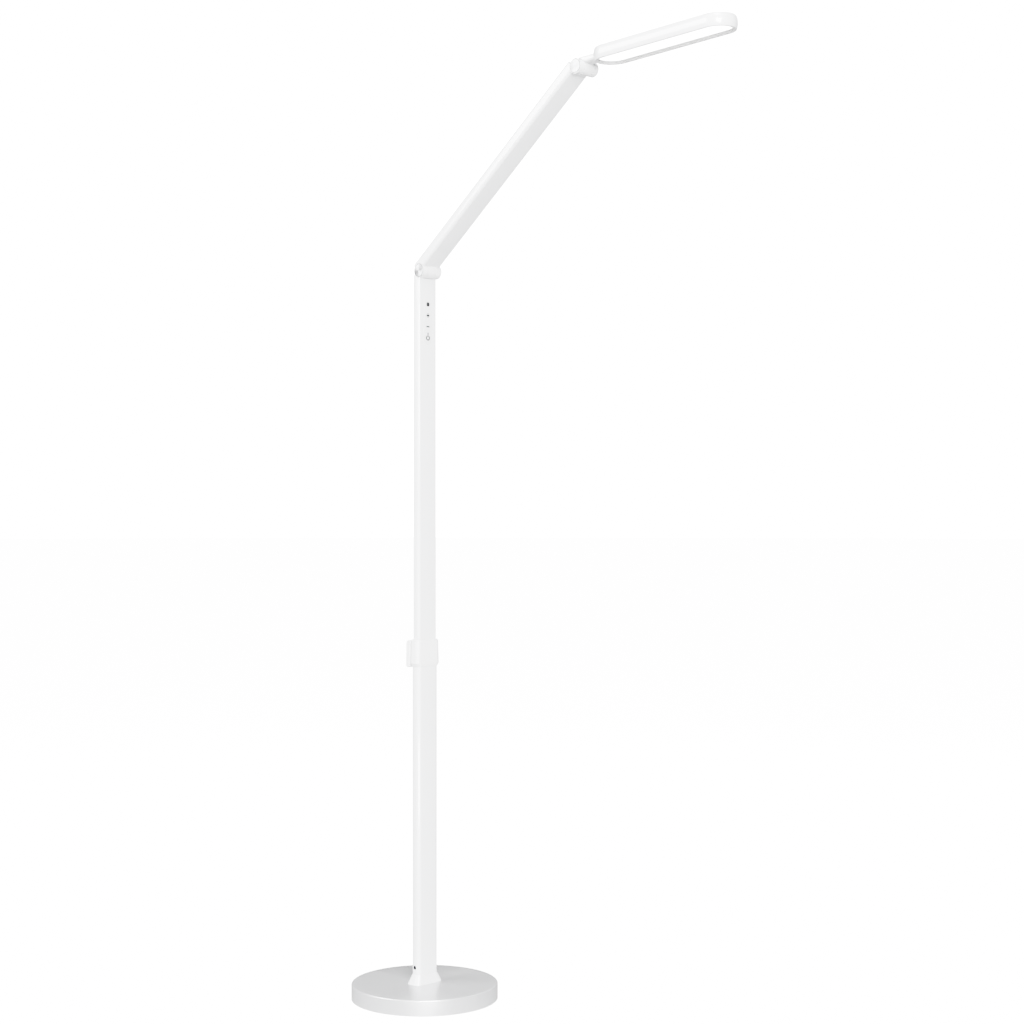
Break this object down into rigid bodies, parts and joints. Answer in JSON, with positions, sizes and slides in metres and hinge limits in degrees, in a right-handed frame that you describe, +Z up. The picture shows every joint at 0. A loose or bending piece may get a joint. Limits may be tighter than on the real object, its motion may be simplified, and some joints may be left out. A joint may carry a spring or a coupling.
{
  "type": "adjustable arm floor lamp",
  "caption": "White floor lamp with a heavy disc base, telescopic rectangular post with a clamp lever, a folding arm on two friction hinges and a slim stadium-shaped light head.",
  "frame": {"origin": "centre of the underside of the round base, on the floor", "axes": "+Z up the post, +X along both hinge axes, -Y the side that the arm reaches to and the touch panel faces"},
  "size_m": [0.254, 0.8055, 1.5827],
  "materials": {
    "white_paint": "satin",
    "white_cast": "satin",
    "base_paint": "satin",
    "white_plastic": "fine matte",
    "panel": "gloss",
    "icon_ink": "printed",
    "spun_aluminium": "turned",
    "steel": "zinc plated",
    "iron": "rough",
    "dark_rubber": "matte",
    "black_plastic": "matte",
    "nylon": "natural",
    "board": "solder mask",
    "chip": "moulded",
    "led": "encapsulated",
    "diffuser": "opal",
    "raw_aluminium": "mill",
    "brass": "plated",
    "lead": "smooth"
  },
  "bodies": {
    "base": {"base_pad": "dark_rubber", "base_plate": "steel", "base_screws": "steel", "base_weight": "iron", "base_shell": "base_paint", "foot_block": "raw_aluminium", "foot_bolts": "steel", "foot_boot": "white_paint", "lower_post": "white_paint", "inlet_bezel": "black_plastic", "power_inlet": "black_plastic", "inlet_pin": "brass", "collar_body": "white_cast", "collar_liner": "nylon", "collar_screws": "steel", "clamp_pad": "nylon", "lever_pin": "steel"},
    "lever": {"clamp_lever": "white_cast"},
    "post": {"upper_post": "white_paint", "slide_shoe": "nylon", "touch_panel": "panel", "touch_icons": "icon_ink", "touch_springs": "steel", "control_board": "board", "board_chips": "chip", "board_carrier": "white_plastic", "post_hinge_block": "white_cast", "post_screws": "steel", "post_lead": "lead", "lower_hinge_pin": "steel", "lower_hinge_nut": "steel", "lower_hinge_washers": "nylon", "lower_hinge_caps": "spun_aluminium"},
    "arm": {"arm_tube": "white_paint", "arm_root_knuckle": "white_cast", "arm_tip_knuckle": "white_cast", "arm_screws": "steel", "arm_lead": "lead", "upper_hinge_pin": "steel", "upper_hinge_nut": "steel", "upper_hinge_washers": "nylon", "upper_hinge_caps": "spun_aluminium"},
    "head": {"head_neck": "white_cast", "head_housing": "white_paint", "head_bezel": "white_plastic", "diffuser": "diffuser", "heat_plate": "raw_aluminium", "led_board": "raw_aluminium", "led_chips": "led", "led_screws": "steel", "neck_screws": "steel", "head_lead": "lead"}
  },
  "joints": [
    {"name": "height_slide", "type": "slide", "parent": "base", "child": "post", "axis": [0, 0, 1], "range_m": [-0.43, 0]},
    {"name": "clamp_lever_hinge", "type": "hinge", "parent": "base", "child": "lever", "pos_m": [0, 0.0158, 0.616], "axis": [1, 0, 0], "range_deg": [0, 100]},
    {"name": "arm_hinge", "type": "hinge", "parent": "post", "child": "arm", "pos_m": [0, -0.008, 1.2587], "axis": [1, 0, 0], "range_deg": [-51, 63]},
    {"name": "head_hinge", "type": "hinge", "parent": "arm", "child": "head", "pos_m": [0, -0.37659, 1.55032], "axis": [1, 0, 0], "range_deg": [-35, 115]}
  ]
}
